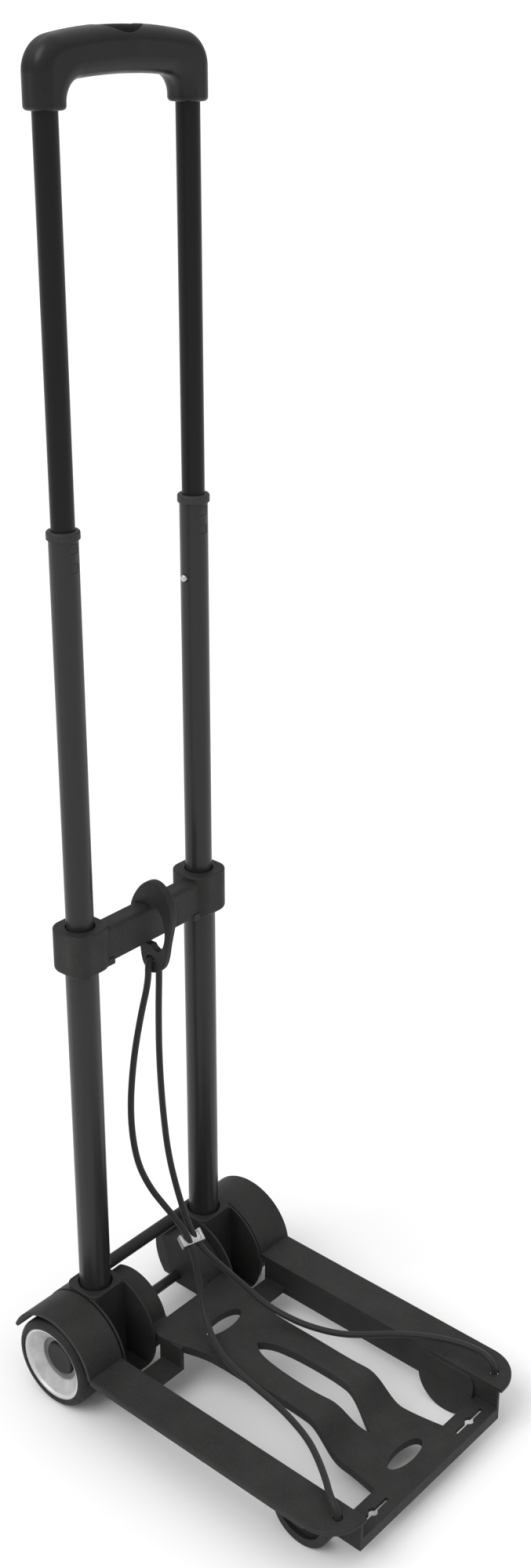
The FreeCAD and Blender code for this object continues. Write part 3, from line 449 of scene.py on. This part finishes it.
def build_knots(material):
    """An overhand knot under each rail's hole."""
    low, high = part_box("cord_knots")
    radius = KNOT_CORD_SHARE * CORD_DIAMETER / 2
    work = bmesh.new()
    for x in (CORD_ROUTE[0][0], CORD_ROUTE[-1][0]):
        middle = Vector((x, (low.y + high.y) / 2, high.z - KNOT_GAP - radius))
        turns = [2 * math.pi * i / KNOT_STEPS for i in range(KNOT_STEPS)]
        loop = [middle + KNOT_SCALE * Vector((math.sin(t) + 2 * math.sin(2 * t),
                                              math.cos(t) - 2 * math.cos(2 * t), -1.3 * math.sin(3 * t)))
                for t in turns]
        work.from_mesh(tube_mesh("knot", loop, radius, sides=14, closed=True))
    mesh = bpy.data.meshes.new("knots")
    work.to_mesh(mesh)
    work.free()
    smooth(mesh, ROUND_ANGLE)
    knots = add_object("knots", mesh, "platform", material)
    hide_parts("cord_knots")
    return knots


def build_cord(material):
    """Elastic cord from rail to rail through the hook's eye."""
    points = [Vector((x, AXLE.y + y, z)) for x, y, z in CORD_ROUTE]
    line = nurbs_points(points)
    mesh = tube_mesh("bungee", line, CORD_DIAMETER / 2)
    cord = add_object("bungee", mesh, None, material)
    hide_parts("bungee_cord")
    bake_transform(cord)


# ---- stage -----------------------------------------------------------------------------
FLOOR_HALF = 150.0
FLOOR_DROP = 0.0002       # keeps the floor just clear of the feet
SKY_LOW = 0.40
SKY_HIGH = 1.10
SKY_HIGH_FROM = 0.9       # upward share of a ray from which the sky is at its brightest
SKY_SEEN = 1.1            # the sky's own brightness where the camera looks past the floor
SUN_FROM = (-0.80, 0.15, 0.95)
SUN_ENERGY = 1.25
SUN_WIDTH = math.radians(40.0)


def build_stage():
    """Wide pale floor under the truck."""
    mesh = bpy.data.meshes.new("floor")
    corners = [(x * FLOOR_HALF, y * FLOOR_HALF, 0) for x, y in ((-1, -1), (1, -1), (1, 1), (-1, 1))]
    mesh.from_pydata(corners, [], [(0, 1, 2, 3)])
    floor = add_object("floor", mesh, material=floor_material())
    floor.location.z = -FLOOR_DROP


def build_lights():
    """White sky that lights most from overhead, and a wide soft sun from the left."""
    world = bpy.data.worlds.new("studio")
    world.use_nodes = True
    tree = world.node_tree
    coords = tree.nodes.new("ShaderNodeTexCoord")
    split = tree.nodes.new("ShaderNodeSeparateXYZ")
    height = tree.nodes.new("ShaderNodeMapRange")
    height.inputs["From Max"].default_value = SKY_HIGH_FROM
    height.inputs["To Min"].default_value = SKY_LOW
    height.inputs["To Max"].default_value = SKY_HIGH
    tree.links.new(coords.outputs["Generated"], split.inputs[0])
    tree.links.new(split.outputs[2], height.inputs["Value"])
    seen = tree.nodes.new("ShaderNodeMix")
    seen.inputs[3].default_value = SKY_SEEN
    rays = tree.nodes.new("ShaderNodeLightPath")
    tree.links.new(rays.outputs["Is Camera Ray"], seen.inputs[0])
    tree.links.new(height.outputs["Result"], seen.inputs[2])
    tree.links.new(seen.outputs[0], tree.nodes["Background"].inputs["Strength"])
    tree.nodes["Background"].inputs["Color"].default_value = (1.0, 1.0, 1.0, 1.0)
    bpy.context.scene.world = world
    data = bpy.data.lights.new("sun", "SUN")
    data.energy = SUN_ENERGY
    data.angle = SUN_WIDTH
    sun = bpy.data.objects.new("sun", data)
    bpy.context.scene.collection.objects.link(sun)
    sun.rotation_mode = "QUATERNION"
    sun.rotation_quaternion = Vector(SUN_FROM).to_track_quat("Z", "Y")


# ---- assembly --------------------------------------------------------------------------
build_camera()
cord_material = braid("cord_fabric")
clip_material = plain_metal("clip_metal", 0.50, 0.28)
cord_pieces = [build_clip(clip_material, plain_metal("clip_painted_shade", 0.07, 0.40)), build_knots(cord_material)]
build_cord(cord_material)

tube_low, tube_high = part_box("upper_tube_left")
MATERIALS = {
    "tube_alloy": painted_tube("tube_alloy", 0.013, 0.32),
    "moulded_black": moulded("moulded_black", grey(0.015, 0.03), grey(0.023, 0.03), 0.55, edge_highlight=0.25),
    "collar_plastic": moulded("collar_plastic", grey(0.024), grey(0.034), 0.50),
    "handle_plastic": moulded("handle_plastic", grey(0.006), grey(0.010), 0.34, grain=0.15, shine=0.26,
                              speck=0.35, seam=(tube_low.y + tube_high.y) / 2),
    "button_plastic": moulded("button_plastic", grey(0.003), grey(0.005), 0.50, grain=0.05, shine=0.04),
    "tyre_rubber": rubber("tyre_rubber"),
    "rim_plastic": wheel_rim("rim_plastic"),
    "hub_plastic": moulded("hub_plastic", grey(0.010), grey(0.015), 0.45),
    "axle_steel": moulded("axle_steel", grey(0.010), grey(0.016), 0.35, grain=0.05, shine=0.4),
    "steel": plain_metal("steel", 0.6, 0.3),
    "clip_metal": clip_material,
    "cord_fabric": cord_material,
}
UPPER_TUBES = ("upper_tube_left", "upper_tube_right")     # painted shade: darker than the other tubes, a copy of their paint
NODE_MATERIALS = dict.fromkeys(UPPER_TUBES, painted_tube("upper_tube_shaded", 0.005, 0.18))
for entry in frame["record"]["subparts"]:
    node = frame["nodes"][entry["node"]]
    for index in range(len(node.material_slots)):
        node.material_slots[index].link = "OBJECT"
        by_slot = MATERIALS[entry["material_slot"]]
        node.material_slots[index].material = NODE_MATERIALS.get(entry["node"], by_slot)

build_stage()
build_lights()
bpy.context.scene.view_settings.view_transform = "Standard"
